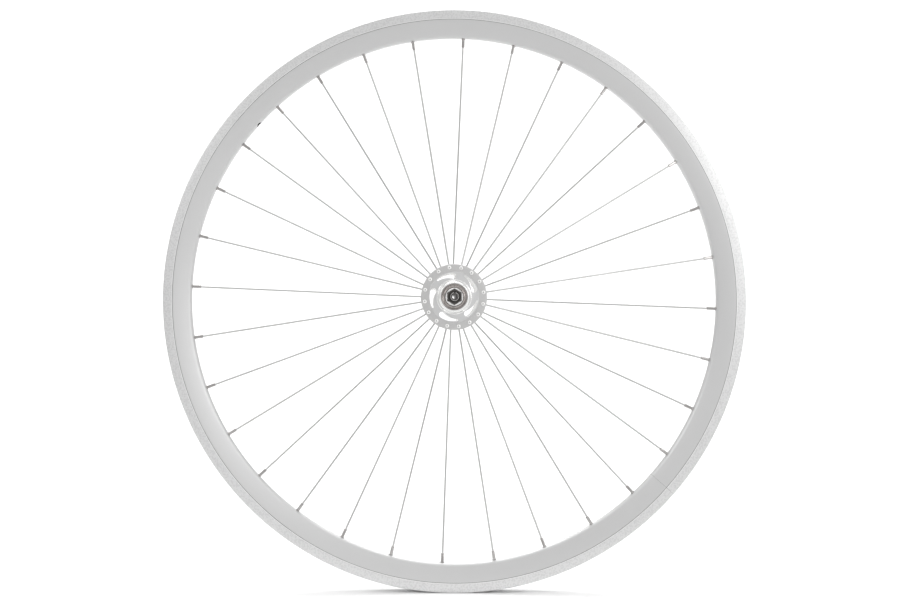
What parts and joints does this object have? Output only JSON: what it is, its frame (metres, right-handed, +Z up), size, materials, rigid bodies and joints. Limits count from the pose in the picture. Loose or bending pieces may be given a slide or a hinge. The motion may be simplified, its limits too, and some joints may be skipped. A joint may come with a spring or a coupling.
{
  "type": "bicycle wheel",
  "caption": "Bare spoked bicycle front wheel with a deep double-wall rim, radial spokes and a high-flange hub turning on a hollow quick-release axle.",
  "frame": {"origin": "middle of the axle, which is also the middle of the wheel", "axes": "+Y along the axle towards the wheel's left side, +Z up, +X towards the front of the bicycle"},
  "size_m": [0.633, 0.108, 0.633],
  "materials": {
    "rim_alloy": "satin anodised, with a machined brake track",
    "hub_alloy": "satin flanges, polished hub body",
    "spoke_steel": "drawn stainless wire",
    "nipple_plating": "nickel-plated brass",
    "dust_cap_steel": "plated, slightly brown",
    "bearing_steel": "ground and polished",
    "black_steel": "black oxide"
  },
  "bodies": {
    "axle_assembly": {"axle": "bearing_steel", "cone_right": "bearing_steel", "cone_left": "bearing_steel", "lock_washer_right": "bearing_steel", "lock_washer_left": "bearing_steel", "locknut_right": "black_steel", "locknut_left": "black_steel"},
    "wheel": {"rim": "rim_alloy", "rim_joint_sleeve": "rim_alloy", "hub_shell": "hub_alloy", "spoke_01": "spoke_steel", "spoke_02": "spoke_steel", "spoke_03": "spoke_steel", "spoke_04": "spoke_steel", "spoke_05": "spoke_steel", "spoke_06": "spoke_steel", "spoke_07": "spoke_steel", "spoke_08": "spoke_steel", "spoke_09": "spoke_steel", "spoke_10": "spoke_steel", "spoke_11": "spoke_steel", "spoke_12": "spoke_steel", "spoke_13": "spoke_steel", "spoke_14": "spoke_steel", "spoke_15": "spoke_steel", "spoke_16": "spoke_steel", "spoke_17": "spoke_steel", "spoke_18": "spoke_steel", "spoke_19": "spoke_steel", "spoke_20": "spoke_steel", "spoke_21": "spoke_steel", "spoke_22": "spoke_steel", "spoke_23": "spoke_steel", "spoke_24": "spoke_steel", "spoke_25": "spoke_steel", "spoke_26": "spoke_steel", "spoke_27": "spoke_steel", "spoke_28": "spoke_steel", "spoke_29": "spoke_steel", "spoke_30": "spoke_steel", "spoke_31": "spoke_steel", "spoke_32": "spoke_steel", "nipples_right": "nipple_plating", "nipples_left": "nipple_plating", "bearing_cup_right": "bearing_steel", "bearing_cup_left": "bearing_steel", "dust_cap_right": "dust_cap_steel", "dust_cap_left": "dust_cap_steel"},
    "ball_train_right": {"bearing_balls_right": "bearing_steel"},
    "ball_train_left": {"bearing_balls_left": "bearing_steel"}
  },
  "joints": [
    {"name": "wheel_spin", "type": "hinge", "parent": "axle_assembly", "child": "wheel", "pos_m": [0, 0, 0], "axis": [0, 1, 0], "continuous": true},
    {"name": "ball_train_right_spin", "type": "hinge", "parent": "axle_assembly", "child": "ball_train_right", "pos_m": [0, -0.0366, 0], "axis": [0, 1, 0], "continuous": true},
    {"name": "ball_train_left_spin", "type": "hinge", "parent": "axle_assembly", "child": "ball_train_left", "pos_m": [0, 0.0366, 0], "axis": [0, 1, 0], "continuous": true}
  ],
  "couplings": [
    {"joint": "ball_train_right_spin", "follows": "wheel_spin", "ratio": 0.6},
    {"joint": "ball_train_left_spin", "follows": "wheel_spin", "ratio": 0.6}
  ]
}
